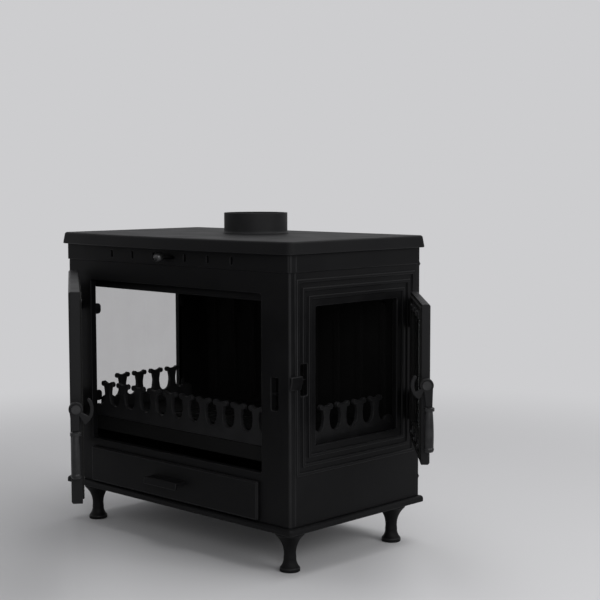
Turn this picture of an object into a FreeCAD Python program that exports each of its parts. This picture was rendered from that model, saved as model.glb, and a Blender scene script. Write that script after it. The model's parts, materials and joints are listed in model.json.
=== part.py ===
import FreeCAD, Part
import Sketcher
import math
import os
import re

# Cast iron wood stove: a wide glazed front door, a glazed loading door on the right, a fixed
# window on the left, a log fence on three sides of the fire and an ash drawer underneath.
# Millimetres, +Z up, the front faces -Y, the origin is on the floor under the middle of the body.

sizes = {
    # body and its walls
    "body_width": 750,
    "body_depth": 422,
    "stove_height": 705,
    "front_thick": 16,
    "side_thick": 14,
    "back_thick": 10,
    "overrun": 2,
    # legs and base
    "leg_height": 92,
    "leg_inset": 44,
    "leg_top_radius": 32,
    "leg_top_rise": 12,
    "leg_ankle_radius": 14,
    "leg_ankle_height": 30,
    "leg_foot_radius": 22,
    "leg_foot_rise": 8,
    "base_thick": 14,
    "base_lip": 10,
    "base_round": 7,
    # top plate
    "plate_rise": 27,
    "plate_overhang": 10,
    "plate_rear_overhang": 6,
    "plate_flare": 5,
    "plate_bow": 26,
    "plate_corner": 14,
    "plate_round": 6,
    "plate_web": 10,
    "plate_rim": 20,
    # flue collar
    "flue_setback": 58,
    "flue_radius": 75,
    "flue_wall": 6,
    "flue_height": 48,
    "flue_foot": 2.5,
    "flue_foot_tall": 6,
    "spigot_depth": 8,
    "spigot_gap": 0.3,
    # cornice band and corner
    "cornice_height": 38,
    "cornice_rise": 3,
    "corner_chamfer": 4.5,
    # front opening
    "fire_margin": 85,
    "fire_sill": 212,
    "fire_lintel": 594,
    "opening_round": 5,
    # side openings and the beads round them
    "window_margin": 78.5,
    "window_sill": 272,
    "window_head": 567,
    "window_border": 23.5,
    "bead_pitch": 18,
    "bead_width": 8,
    "bead_rise": 3,
    # fixed left window
    "pane_thick": 4,
    "pane_lap": 6,
    "left_front_margin": 66,
    "left_rear_margin": 85,
    "left_head": 588,
    "pane_clip": 26,
    "pane_clip_low": 300,
    "pane_clip_high": 515,
    "pane_clip_reach": 13,
    "pane_clip_thick": 3,
    # air control
    "slot_width": 7,
    "slot_tall": 17,
    "slot_first": 53,
    "slot_pitch": 75.5,
    "slot_drop": 19,
    "slot_steps": 2,
    "knob_radius": 12,
    "knob_stand": 15.5,
    "knob_rest": 16,
    "stem_radius": 3.5,
    "stem_gap": 0.5,
    "slider_thick": 4,
    "slider_tall": 24,
    "slider_end": 14,
    "slider_travel": 32,
    "slider_gap": 0.3,
    "guide_thick": 4,
    "guide_lip": 5,
    # hearth, grate and fireback
    "hearth_top": 265,
    "hearth_thick": 10,
    "apron_drop": 23,
    "apron_lap": 10,
    "ledge_reach": 14,
    "ledge_rise": 8,
    "grate_width": 360,
    "grate_depth": 190,
    "grate_lap": 10,
    "grate_thick": 12,
    "grate_gap": 1,
    "grate_slot": 12,
    "grate_rim": 16,
    "fireback_margin": 55,
    "fireback_height": 300,
    "fireback_thick": 12,
    "flute_width": 16,
    "flute_rise": 7,
    "baffle_margin": 19,
    "baffle_under": 606,
    "baffle_thick": 9,
    "baffle_mouth": 136,
    # log fence
    "fence_setback": 17,
    "fence_thick": 10,
    "fence_height": 85,
    "fence_rail": 27,
    "fence_margin": 75,
    "fence_end": 17,
    "side_fence_inset": 23,
    "side_fence_margin": 65,
    "side_fence_centre": 8,
    "side_fence_end": 38,
    "hump_rise": 9,
    "head_drop": 20,
    "head_dip": 2.6,
    "neck_pitch_share": 0.194,
    "lobe_place_share": 0.283,
    "lobe_size_share": 0.115,
    "lobe_from": 120,
    "lobe_to": 135,
    "stem_hollow": 1.5,
    # ash drawer
    "drawer_margin": 105,
    "drawer_sill": 120,
    "drawer_head": 182,
    "drawer_gap": 3,
    "drawer_rear_room": 92,
    "drawer_wall": 3,
    "drawer_front_lap": 12,
    "drawer_front_thick": 9,
    "drawer_pull_width": 110,
    "drawer_pull_reach": 26,
    "drawer_pull_thick": 8,
    "drawer_pull_drop": 16,
    "runner_width": 18,
    "runner_gap": 0.3,
    "wear_gap": 0.3,
    # doors
    "door_gap": 4,
    "front_leaf": 22,
    "front_door_lap": 18,
    "front_door_foot": 198,
    "front_door_head": 616,
    "front_hinge_offset": 48,
    "front_open": 36.5,
    "side_leaf": 18,
    "side_door_lap": 13.5,
    "side_door_foot": 253,
    "side_door_head": 581,
    "side_hinge_offset": 43.5,
    "side_open": 43.5,
    "leaf_start": 12,
    "leaf_chamfer": 3,
    "leaf_border": 10,
    "leaf_panel_drop": 3,
    "glass_inset": 24,
    "glass_lap": 12,
    "glass_thick": 4,
    "rabbet_depth": 9,
    "glass_play": 0.5,
    "clip_length": 30,
    "clip_reach": 10,
    "clip_thick": 2.5,
    "clip_seat": 8,
    "gasket_width": 7,
    "gasket_offset": 5.5,
    "gasket_groove": 3,
    "gasket_clear": 0.4,
    # hinges
    "lug_radius": 9,
    "lug_tall": 22,
    "knuckle_tall": 38,
    "front_hinge_low": 262,
    "front_hinge_high": 520,
    "side_hinge_low": 290,
    "side_hinge_high": 500,
    "hinge_gap": 0.3,
    "pin_radius": 5,
    "pin_clear": 0.08,
    "pin_seat": 0.02,
    "pin_cap": 7,
    # claw latches
    "front_hub_height": 390,
    "side_hub_height": 420,
    "boss_radius": 11,
    "boss_length": 17,
    "hub_radius": 14,
    "pivot_radius": 5,
    "pivot_bed": 12,
    "pivot_head_radius": 9,
    "pivot_head": 4,
    "latch_thick": 10,
    "latch_gap": 0.3,
    "bar_radius": 3.5,
    "bar_depth": 7,
    "bar_drop": 5,
    "claw_clear": 1.2,
    "claw_width": 7,
    "claw_top": 34,
    "claw_foot": 62,
    "claw_open": 30,
    "latch_slot_clear": 5.5,
    "neck_width": 13,
    "front_neck_stand": 1,
    "side_neck_stand": 5,
    "neck_drop": 44,
    "neck_front_share": 0.5,
    "neck_rear_share": 0.9,
    "neck_rise_share": 0.2,
    "ferrule_radius": 11,
    "ferrule_tall": 8,
    "grip_radius": 9.5,
    "grip_waist": 7.5,
    "grip_tall": 92,
    "keeper_reach": 8,
    "keeper_tall": 11,
    "keeper_lift": 5,
    "keeper_wedge": 18,
    "keeper_past": 2,
    # back panel
    "back_rib_width": 14,
    "back_rib_rise": 4,
    "back_rib_margin": 60,
}

fence_bones = 10
side_fence_bones = 4
bead_rings = 3
left_bead_rings = 2
grate_slots = 9
flutes = 9
back_ribs = 5
clip_shares = (0.2, 0.5, 0.8)
same_place = 1e-4
whole_turn = 360
quarter_turn = 90
half_right_angle = 45

# Places worked out from the sizes, each in the same words as the sizes
derived = {
    "front_face": "-body_depth / 2",
    "rear_face": "body_depth / 2",
    "side_face": "body_width / 2",
    "fire_width": "body_width - 2 * fire_margin",
    "window_width": "body_depth - 2 * window_margin",
    "fireback_width": "body_width - 2 * fireback_margin",
    "baffle_width": "body_width - 2 * baffle_margin",
    "fence_pitch": f"(body_width - 2 * (fence_margin + fence_end)) / {fence_bones}",
    "side_fence_pitch": f"(body_depth - 2 * (side_fence_margin + side_fence_end)) / {side_fence_bones}",
    "drawer_width": "body_width - 2 * drawer_margin",
    "drawer_length": "body_depth - drawer_rear_room",
    "front_door_reach": "front_hinge_offset + fire_width + front_door_lap",
    "side_door_reach": "side_hinge_offset + window_width + side_door_lap",
    "front_inner": "front_face + front_thick",
    "back_inner": "rear_face - back_thick",
    "side_inner": "side_face - side_thick",
    "base_top": "leg_height + base_thick",
    "plate_under": "stove_height - plate_rise",
    "cornice_under": "plate_under - cornice_height",
    "slot_line": "plate_under - slot_drop",
    "slot_reach": "slot_first + slot_steps * slot_pitch + slot_width / 2",
    "slider_back": "front_inner + slider_gap + slider_thick",
    "hearth_under": "hearth_top - hearth_thick",
    "fence_front": "front_face + fence_setback",
    "left_front": "front_face + left_front_margin",
    "left_rear": "rear_face - left_rear_margin",
    "drawer_half": "drawer_width / 2",
    "drawer_floor": "drawer_sill + wear_gap",
    "front_axis_x": "-fire_width / 2 - front_hinge_offset",
    "front_axis_y": "front_face - door_gap - front_leaf / 2",
    "side_axis_x": "side_face + door_gap + side_leaf / 2",
    "side_axis_y": "window_width / 2 + side_hinge_offset",
    "latch_from": "boss_length + latch_gap",
    "latch_middle": "latch_from + latch_thick / 2",
    "latch_half_slot": "latch_thick / 2 + latch_slot_clear",
    "front_slot_x": "front_axis_x + front_door_reach + latch_middle",
    "side_slot_y": "side_axis_y - side_door_reach - latch_middle",
}

doc = FreeCAD.newDocument("stove")
sheet = doc.addObject("Spreadsheet::Sheet", "Sizes")
for row, (alias, size) in enumerate(sizes.items(), start=1):
    sheet.set(f"A{row}", alias)
    sheet.set(f"B{row}", str(size))
    sheet.setAlias(f"B{row}", alias)
doc.recompute()

parts = []


# Expressions: plain words become cells of the sheet or the derived places above
def bound(text):
    def swap(found):
        word = found.group(0)
        if word in derived:
            return f"({bound(derived[word])})"
        return f"Sizes.{word}" if word in sizes else word

    return re.sub(r"[A-Za-z_]\w*", swap, text)


def measure(text):
    found = sheet.evalExpression(bound(text))
    return float(getattr(found, "Value", found))


# Bodies, sketches and features
def new_body(label, several=False):
    body = doc.addObject("PartDesign::Body", label)
    body.Label = label
    body.AllowCompound = several
    parts.append(body)
    return body


def origin_feature(body, role):
    return next(feature for feature in body.Origin.OriginFeatures if feature.Role == role)


def sketch_on(body, plane, offset="0"):
    sketch = body.newObject("Sketcher::SketchObject", f"{body.Label}_sketch")
    sketch.AttachmentSupport = [(origin_feature(body, f"{plane}_Plane"), "")]
    sketch.MapMode = "FlatFace"
    sketch.setExpression("AttachmentOffset.Base.z", bound(offset))
    return sketch


def bind(sketch, rules):
    # Each rule is a constraint's kind, its arguments, its name and the words that drive it
    made = []
    for kind, arguments, name, _ in rules:
        constraint = Sketcher.Constraint(kind, *arguments)
        constraint.Name = name
        made.append(constraint)
    sketch.addConstraint(made)
    for _, _, name, text in rules:
        if text:
            sketch.setExpression(f"Constraints.{name}", bound(text))


def place_point(geometry, point, x, y):
    return [
        ("DistanceX", (-1, 1, geometry, point, measure(x)), f"x{geometry}_{point}", x),
        ("DistanceY", (-1, 1, geometry, point, measure(y)), f"y{geometry}_{point}", y),
    ]


def circle(sketch, x, y, radius):
    centre = FreeCAD.Vector(measure(x), measure(y), 0)
    geometry = sketch.addGeometry(Part.Circle(centre, FreeCAD.Vector(0, 0, 1), measure(radius)), False)
    radius_rule = ("Radius", (geometry, measure(radius)), f"r{geometry}", radius)
    bind(sketch, place_point(geometry, 3, x, y) + [radius_rule])


def outline(sketch, corners):
    # Corners run anticlockwise. A third entry bows the edge after it: outwards if positive.
    first = sketch.GeometryCount
    ends = []
    centres = []
    for corner, after in zip(corners, corners[1:] + corners[:1]):
        start = FreeCAD.Vector(measure(corner[0]), measure(corner[1]), 0)
        end = FreeCAD.Vector(measure(after[0]), measure(after[1]), 0)
        if len(corner) == 2:
            sketch.addGeometry(Part.LineSegment(start, end), False)
            ends.append((1, 2))
            centres.append(None)
            continue
        rise = measure(corner[2])
        chord = end - start
        outward = FreeCAD.Vector(chord.y, -chord.x, 0) / chord.Length
        centre = (start + end) / 2 + outward * (rise / 2 - chord.Length**2 / (8 * rise))
        first_end, last_end = (start, end) if rise > 0 else (end, start)
        begin = math.atan2(first_end.y - centre.y, first_end.x - centre.x)
        stop = math.atan2(last_end.y - centre.y, last_end.x - centre.x)
        stop += 2 * math.pi if stop <= begin else 0
        ring = Part.Circle(centre, FreeCAD.Vector(0, 0, 1), (start - centre).Length)
        sketch.addGeometry(Part.ArcOfCircle(ring, begin, stop), False)
        ends.append((1, 2) if rise > 0 else (2, 1))
        run, climb = (f"(({after[axis]}) - ({corner[axis]}))" for axis in (0, 1))
        span = f"({run}^2 + {climb}^2)"
        depth = f"(({corner[2]}) / 2 - {span} / (8 * ({corner[2]}))) / sqrt({span})"
        if abs(outward.x) > abs(outward.y):
            centres.append(("DistanceX", centre.x, f"({corner[0]}) + {run} / 2 + {climb} * {depth}"))
        else:
            centres.append(("DistanceY", centre.y, f"({corner[1]}) + {climb} / 2 - {run} * {depth}"))
    rules = []
    for index, corner in enumerate(corners):
        geometry = first + index
        following = first + (index + 1) % len(corners)
        start_next = ends[(index + 1) % len(corners)][0]
        rules.append(("Coincident", (geometry, ends[index][1], following, start_next), f"j{geometry}", ""))
        rules += place_point(geometry, ends[index][0], corner[0], corner[1])
        if centres[index]:
            kind, place, text = centres[index]
            rules.append((kind, (-1, 1, geometry, 3, place), f"c{geometry}", text))
    bind(sketch, rules)


def rectangle(sketch, left, right, low, high, corner=None):
    left, right = sorted((left, right), key=measure)
    low, high = sorted((low, high), key=measure)
    if corner is None:
        outline(sketch, [(left, low), (right, low), (right, high), (left, high)])
        return
    bow = f"({corner}) * (1 - cos({half_right_angle}))"
    outline(sketch, [
        (f"{left} + {corner}", low), (f"{right} - ({corner})", low, bow),
        (right, f"{low} + {corner}"), (right, f"{high} - ({corner})", bow),
        (f"{right} - ({corner})", high), (f"{left} + {corner}", high, bow),
        (left, f"{high} - ({corner})"), (left, f"{low} + {corner}", bow),
    ])


def upright_slot(sketch, x, y, width, tall):
    left, right = f"{x} - {width} / 2", f"{x} + {width} / 2"
    low, high = f"{y} - ({tall} - {width}) / 2", f"{y} + ({tall} - {width}) / 2"
    outline(sketch, [(left, low, f"{width} / 2"), (right, low), (right, high, f"{width} / 2"), (left, high)])


def pad(body, sketch, length, reverse=False, taper=None):
    made = body.newObject("PartDesign::Pad", f"{body.Label}_pad")
    made.Profile = sketch
    made.setExpression("Length", bound(length))
    made.Reversed = reverse
    if taper:
        made.setExpression("TaperAngle", bound(taper))
    return made


def cut(body, sketch, depth, reverse=False):
    doc.recompute()
    before = body.Shape.Volume
    made = body.newObject("PartDesign::Pocket", f"{body.Label}_pocket")
    made.Profile = sketch
    made.setExpression("Length", bound(depth))
    made.Reversed = reverse
    doc.recompute()
    if not body.Shape.Volume < before:
        raise RuntimeError(f"a pocket of {body.Label} cuts nothing")
    return made


def turned(body, sketch):
    made = body.newObject("PartDesign::Revolution", f"{body.Label}_turned")
    made.Profile = sketch
    made.ReferenceAxis = (sketch, ["V_Axis"])
    made.Angle = whole_turn
    return made


def soften(body, kind, amount, wanted):
    doc.recompute()
    shape = body.Shape
    names = [f"Edge{number}" for number, edge in enumerate(shape.Edges, start=1) if wanted(edge)]
    base = body.Tip
    made = body.newObject(f"PartDesign::{kind}", f"{body.Label}_{kind}")
    made.Base = (base, names)
    made.setExpression("Radius" if kind == "Fillet" else "Size", bound(amount))
    return made


def near(value, text):
    return abs(value - measure(text)) < same_place


def level_edge(edge, height):
    return near(edge.BoundBox.ZMin, height) and near(edge.BoundBox.ZMax, height)


def put(body, x="0", y="0", z="0"):
    body.setExpression("Placement.Base.x", bound(x))
    body.setExpression("Placement.Base.y", bound(y))
    body.setExpression("Placement.Base.z", bound(z))


# Legs and base
def make_leg(label, across, along):
    leg = new_body(label)
    profile = sketch_on(leg, "XZ")
    outline(profile, [
        ("0", "0"), ("leg_foot_radius", "0"), ("leg_foot_radius", "leg_foot_rise", "-leg_foot_rise / 3"),
        ("leg_ankle_radius", "leg_ankle_height", "-leg_ankle_radius / 2"),
        ("leg_top_radius", "leg_height - leg_top_rise"), ("leg_top_radius", "leg_height"),
        ("0", "leg_height"),
    ])
    turned(leg, profile)
    put(leg, f"{across}(side_face - leg_inset)", f"{along}(rear_face - leg_inset)")


for end, along in (("front", "-"), ("rear", "")):
    for flank, across in (("left", "-"), ("right", "")):
        make_leg(f"leg_{end}_{flank}", across, along)

base = new_body("base_plate")
profile = sketch_on(base, "XY", "leg_height")
half_base, half_deep = "side_face + base_lip", "rear_face + base_lip"
rectangle(profile, f"-({half_base})", half_base, f"-({half_deep})", half_deep, "base_round")
pad(base, profile, "base_thick")
soften(base, "Fillet", "base_round", lambda edge: level_edge(edge, "base_top"))

# Front frame with the fire opening, the drawer opening, the air slots and the latch slot
frame = new_body("front_frame")
profile = sketch_on(frame, "XZ", "-front_inner")
rectangle(profile, "-side_face", "side_face", "base_top", "plate_under")
pad(frame, profile, "front_thick")
profile = sketch_on(frame, "XZ", "-front_inner")
rectangle(profile, "-side_face - cornice_rise", "side_face + cornice_rise", "cornice_under", "plate_under")
pad(frame, profile, "front_thick + cornice_rise")
soften(frame, "Chamfer", "corner_chamfer", lambda edge: (
    near(abs(edge.CenterOfMass.x), "side_face + cornice_rise")
    and near(edge.BoundBox.YMax, "front_face - cornice_rise")
))
profile = sketch_on(frame, "XZ", "-front_face + cornice_rise + overrun")
rectangle(profile, "-fire_width / 2", "fire_width / 2", "fire_sill", "fire_lintel", "opening_round")
rectangle(profile, "-drawer_half - drawer_gap", "drawer_half + drawer_gap", "drawer_sill", "drawer_head")
for side in ("-", ""):
    for step in range(sizes["slot_steps"] + 1):
        place = f"{side}(slot_first + {step} * slot_pitch)"
        upright_slot(profile, place, "slot_line", "slot_width", "slot_tall")
guide_bow = "stem_radius + stem_gap"
outline(profile, [
    ("-knob_rest", f"slot_line - ({guide_bow})"), ("knob_rest", f"slot_line - ({guide_bow})", guide_bow),
    ("knob_rest", f"slot_line + {guide_bow}"), ("-knob_rest", f"slot_line + {guide_bow}", guide_bow),
])
claw_reach = {
    leaf: f"sqrt(({leaf} / 2 + door_gap + bar_depth)^2 + bar_drop^2) + bar_radius + claw_clear"
    for leaf in ("front_leaf", "side_leaf")
}


def latch_slot(sketch, middle, hub, leaf):
    reach = f"({claw_reach[leaf]} + claw_width)"
    rectangle(
        sketch, f"{middle} - (latch_half_slot)", f"{middle} + latch_half_slot",
        f"{hub} - {reach} - latch_slot_clear", f"{hub} + {reach} * sin(claw_top) + 2 * latch_slot_clear",
        "bar_radius",
    )


latch_slot(profile, "front_slot_x", "front_hub_height", "front_leaf")
cut(frame, profile, "front_thick + cornice_rise + 2 * overrun")
profile = sketch_on(frame, "YZ", "front_slot_x - latch_half_slot - overrun")
circle(profile, "front_face + bar_depth", "front_hub_height - bar_drop", "bar_radius")
pad(frame, profile, "2 * (latch_half_slot + overrun)")


def hinge_lug(body, axis_x, axis_y, foot, low):
    # A lug is a tongue from the wall with a round end about the pin
    profile = sketch_on(body, "XY", low)
    outline(profile, foot)
    pad(body, profile, "lug_tall")
    profile = sketch_on(body, "XY", f"{low} + lug_tall + overrun")
    circle(profile, axis_x, axis_y, "pin_radius + pin_seat")
    cut(body, profile, "lug_tall + 2 * overrun")


for low in ("front_hinge_low", "front_hinge_high"):
    left, right = "front_axis_x - lug_radius", "front_axis_x + lug_radius"
    hinge_lug(frame, "front_axis_x", "front_axis_y", [
        (left, "front_axis_y", "lug_radius"), (right, "front_axis_y"),
        (right, "front_face + overrun"), (left, "front_face + overrun"),
    ], low)


# Side panels: beads round the opening, a cornice, and ledges for the hearth and the baffle
def make_side(label, hand, window, rings):
    side = new_body(label)
    sign = "" if hand > 0 else "-"
    inward = hand > 0
    front, rear, head = window
    profile = sketch_on(side, "YZ", f"{sign}(side_inner)")
    rectangle(profile, "front_inner", "back_inner", "base_top", "plate_under")
    pad(side, profile, "side_thick", reverse=not inward)
    profile = sketch_on(side, "YZ", f"{sign}(side_face)")
    rectangle(profile, "front_inner", "back_inner", "cornice_under", "plate_under")
    pad(side, profile, "cornice_rise", reverse=not inward)
    for ring in range(rings):
        border = f"window_border + {ring} * bead_pitch"
        profile = sketch_on(side, "YZ", f"{sign}(side_face)")
        for inset in ("0", "bead_width"):
            grow = f"({border} - {inset})"
            low, high = f"window_sill - {grow}", f"{head} + {grow}"
            rectangle(profile, f"{front} - {grow}", f"{rear} + {grow}", low, high)
        pad(side, profile, "bead_rise", reverse=not inward)
    profile = sketch_on(side, "YZ", f"{sign}(side_face + bead_rise + overrun)")
    rectangle(profile, front, rear, "window_sill", head, "opening_round")
    cut(side, profile, "side_thick + bead_rise + 2 * overrun", reverse=not inward)
    for under in ("hearth_under - ledge_rise", "baffle_under - ledge_rise"):
        profile = sketch_on(side, "YZ", f"{sign}(side_inner)")
        rectangle(profile, "front_inner + ledge_reach", "back_inner", under, f"{under} + ledge_rise")
        pad(side, profile, "ledge_reach", reverse=inward)
    return side


make_side("left_side_panel", -1, ("left_front", "left_rear", "left_head"), left_bead_rings)
loading = ("-window_width / 2", "window_width / 2", "window_head")
right_side = make_side("right_side_panel", 1, loading, bead_rings)
profile = sketch_on(right_side, "YZ", "side_face + bead_rise + overrun")
latch_slot(profile, "side_slot_y", "side_hub_height", "side_leaf")
cut(right_side, profile, "side_thick + bead_rise + 2 * overrun")
profile = sketch_on(right_side, "XZ", "-(side_slot_y) - latch_half_slot - overrun")
circle(profile, "side_face - bar_depth", "side_hub_height - bar_drop", "bar_radius")
pad(right_side, profile, "2 * (latch_half_slot + overrun)")
for low in ("side_hinge_low", "side_hinge_high"):
    near_side, far_side = "side_axis_y - lug_radius", "side_axis_y + lug_radius"
    hinge_lug(right_side, "side_axis_x", "side_axis_y", [
        ("side_face - overrun", near_side), ("side_axis_x", near_side, "lug_radius"),
        ("side_axis_x", far_side), ("side_face - overrun", far_side),
    ], low)
# The cast shoulder that guides the claw into its slot runs forward past the corner
keeper_rear = "side_slot_y - latch_half_slot"
keeper_low = "side_hub_height - bar_drop + keeper_lift - keeper_tall / 2"
profile = sketch_on(right_side, "XZ", f"-({keeper_rear})")
outline(profile, [
    ("side_face", f"{keeper_low} - keeper_wedge"), ("side_face + bead_rise", f"{keeper_low} - keeper_wedge"),
    ("side_face + keeper_reach", keeper_low), ("side_face + keeper_reach", f"{keeper_low} + keeper_tall"),
    ("side_face", f"{keeper_low} + keeper_tall"),
])
pad(right_side, profile, f"{keeper_rear} - (front_face) + keeper_past")

# Back panel with stiffening ribs
back = new_body("back_panel")
profile = sketch_on(back, "XZ", "-rear_face")
rectangle(profile, "-side_face", "side_face", "base_top", "plate_under")
pad(back, profile, "back_thick")
profile = sketch_on(back, "XZ", "-rear_face")
for rib in range(back_ribs):
    place = f"(side_face - back_rib_margin) * {2 * rib / (back_ribs - 1) - 1}"
    low, high = "base_top + back_rib_margin", "plate_under - back_rib_margin"
    upright_slot(profile, place, f"({low} + {high}) / 2", "back_rib_width", f"({high} - ({low}))")
pad(back, profile, "back_rib_rise", reverse=True)

# Top plate: a bowed front edge, flared rim, hollow underside and the flue hole
plate = new_body("top_plate")
profile = sketch_on(plate, "XY", "stove_height")
edge_x, edge_rear = "side_face + plate_overhang", "rear_face + plate_rear_overhang"
edge_front = "front_face - plate_overhang"
rear_turn = f"plate_corner * (1 - cos({half_right_angle}))"
# The front corners take over from the bow without a kink, so their radius follows its slope
bow_slope = f"(plate_bow / ({edge_x} - plate_corner))"
bow_sine = f"(2 * {bow_slope} / (1 + {bow_slope}^2))"
bow_cosine = f"((1 - {bow_slope}^2) / (1 + {bow_slope}^2))"
front_corner = f"(plate_corner / (1 - {bow_sine}))"
front_turn = f"{front_corner} * (1 - sqrt((1 + {bow_sine}) / 2))"
front_side = f"{edge_front} + {front_corner} * {bow_cosine}"
outline(profile, [
    (f"-({edge_x}) + plate_corner", edge_front, "plate_bow"),
    (f"{edge_x} - plate_corner", edge_front, front_turn), (edge_x, front_side),
    (edge_x, f"{edge_rear} - plate_corner", rear_turn),
    (f"{edge_x} - plate_corner", edge_rear), (f"-({edge_x}) + plate_corner", edge_rear, rear_turn),
    (f"-({edge_x})", f"{edge_rear} - plate_corner"), (f"-({edge_x})", front_side, front_turn),
])
pad(plate, profile, "plate_rise", reverse=True, taper="atan(plate_flare / plate_rise)")
soften(plate, "Fillet", "plate_round", lambda edge: level_edge(edge, "stove_height"))
profile = sketch_on(plate, "XY", "plate_under - overrun")
rectangle(
    profile, "-side_face + plate_rim", "side_face - plate_rim",
    "front_face + plate_rim", "rear_face - plate_rim", "plate_corner",
)
cut(plate, profile, "plate_rise - plate_web + overrun", reverse=True)
profile = sketch_on(plate, "XY", "stove_height + overrun")
circle(profile, "0", "flue_setback", "flue_radius - flue_wall / 2 + spigot_gap")
cut(plate, profile, "plate_web + 2 * overrun")

# Flue collar, turned, with a spread foot and a spigot in the plate
collar = new_body("flue_collar")
profile = sketch_on(collar, "XZ")
outline(profile, [
    ("flue_radius - flue_wall", "-spigot_depth"), ("flue_radius - flue_wall / 2", "-spigot_depth"),
    ("flue_radius - flue_wall / 2", "0"), ("flue_radius + flue_foot", "0"),
    ("flue_radius + flue_foot", "flue_foot / 3", "-flue_foot / 4"), ("flue_radius", "flue_foot_tall"),
    ("flue_radius", "flue_height - flue_wall / 4", "flue_wall / 8"),
    ("flue_radius - flue_wall / 4", "flue_height"), ("flue_radius - flue_wall", "flue_height"),
])
turned(collar, profile)
put(collar, "0", "flue_setback", "stove_height")

# Hearth plate, grate, fireback and baffle
hearth = new_body("hearth_plate")
profile = sketch_on(hearth, "XY", "hearth_under")
rectangle(profile, "-side_inner", "side_inner", "front_inner", "back_inner")
pad(hearth, profile, "hearth_thick")
profile = sketch_on(hearth, "XY", "hearth_top + overrun")
rectangle(
    profile, "-grate_width / 2 + grate_lap", "grate_width / 2 - grate_lap",
    "-grate_depth / 2 + grate_lap", "grate_depth / 2 - grate_lap", "opening_round",
)
cut(hearth, profile, "hearth_thick + 2 * overrun")
profile = sketch_on(hearth, "XY", "hearth_top + overrun")
half_wide, half_long = "grate_width / 2 + grate_gap", "grate_depth / 2 + grate_gap"
rectangle(profile, f"-({half_wide})", half_wide, f"-({half_long})", half_long)
cut(hearth, profile, "hearth_thick / 2 + overrun")
profile = sketch_on(hearth, "XY", "hearth_under")
apron_half = "fire_width / 2 + apron_lap"
rectangle(profile, f"-({apron_half})", apron_half, "front_inner", "front_inner + hearth_thick")
pad(hearth, profile, "apron_drop", reverse=True)

grate = new_body("grate")
profile = sketch_on(grate, "XY", "hearth_top - hearth_thick / 2")
rectangle(profile, "-grate_width / 2", "grate_width / 2", "-grate_depth / 2", "grate_depth / 2")
pad(grate, profile, "grate_thick")
profile = sketch_on(grate, "XY", "hearth_top - hearth_thick / 2 + grate_thick + overrun")
for slot in range(grate_slots):
    place = f"(grate_width / 2 - grate_rim - grate_slot) * {2 * slot / (grate_slots - 1) - 1}"
    upright_slot(profile, place, "0", "grate_slot", "(grate_depth - 2 * grate_rim)")
cut(grate, profile, "grate_thick + 2 * overrun")

fireback = new_body("fireback")
profile = sketch_on(fireback, "XZ", "-back_inner")
rectangle(profile, "-fireback_width / 2", "fireback_width / 2", "hearth_top", "hearth_top + fireback_height")
pad(fireback, profile, "fireback_thick")
profile = sketch_on(fireback, "XZ", "-back_inner + fireback_thick")
for flute in range(flutes):
    place = f"(fireback_width / 2 - 2 * flute_width) * {2 * flute / (flutes - 1) - 1}"
    tall = "(fireback_height - 2 * flute_width)"
    upright_slot(profile, place, "hearth_top + fireback_height / 2", "flute_width", tall)
pad(fireback, profile, "flute_rise")

baffle = new_body("baffle_plate")
profile = sketch_on(baffle, "XY", "baffle_under")
baffle_front = "front_inner + baffle_mouth"
rectangle(profile, "-baffle_width / 2", "baffle_width / 2", baffle_front, "back_inner", "opening_round")
pad(baffle, profile, "baffle_thick")


# Log fence: one outline of a rail and a row of balusters with two lobed heads and round gaps between
def fence_outline(sketch, centre, bones, pitch, end, hump):
    half = f"({bones} * {pitch} / 2)"
    top = "hearth_top + fence_rail"
    head = "hearth_top + fence_height"
    neck, lobe = f"{pitch} * neck_pitch_share", f"({pitch} * lobe_size_share)"
    gap = f"({pitch} / 2 - {neck})"
    quarter = f"-{gap} * (1 - cos({half_right_angle}))"
    lobe_bow = f"{lobe} * (1 - cos((lobe_from + lobe_to) / 2))"
    under_x = f"({pitch} * lobe_place_share + {lobe} * cos(lobe_from))"
    over_x = f"({pitch} * lobe_place_share + {lobe} * cos(lobe_to))"
    under_z, over_z = f"{head} - {lobe} * (1 + sin(lobe_from))", f"{head} - {lobe} * (1 - sin(lobe_to))"
    corners = [(f"{centre} - {half} - {end}", "hearth_top"), (f"{centre} + {half} + {end}", "hearth_top")]
    corners.append((f"{centre} + {half} + {end}", top, *hump))
    corners.append((f"{centre} + {half}", top, quarter))
    for bone in reversed(range(bones)):
        middle = f"{centre} + ({2 * bone + 1 - bones}) * {pitch} / 2"
        corners.append((f"{middle} + {neck}", f"{top} + {gap}", "-stem_hollow"))
        corners.append((f"{middle} + {neck}", f"{head} - head_drop"))
        corners.append((f"{middle} + {under_x}", under_z, lobe_bow))
        corners.append((f"{middle} + {over_x}", over_z, "-head_dip"))
        corners.append((f"{middle} - {over_x}", over_z, lobe_bow))
        corners.append((f"{middle} - {under_x}", under_z))
        corners.append((f"{middle} - {neck}", f"{head} - head_drop", "-stem_hollow"))
        corners.append((f"{middle} - {neck}", f"{top} + {gap}", f"-{gap}" if bone else quarter))
    corners.append((f"{centre} - {half}", top, *hump))
    corners.append((f"{centre} - {half} - {end}", top))
    outline(sketch, corners)


fence = new_body("front_fence")
profile = sketch_on(fence, "XZ", "-fence_front - fence_thick")
fence_outline(profile, "0", fence_bones, "fence_pitch", "fence_end", ())
pad(fence, profile, "fence_thick")
for label, sign in (("left_fence", "-"), ("right_fence", "")):
    fence = new_body(label)
    profile = sketch_on(fence, "YZ", f"{sign}(side_face - side_fence_inset)")
    fence_outline(
        profile, "side_fence_centre", side_fence_bones, "side_fence_pitch", "side_fence_end", ("hump_rise",),
    )
    pad(fence, profile, "fence_thick", reverse=sign == "")

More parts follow.
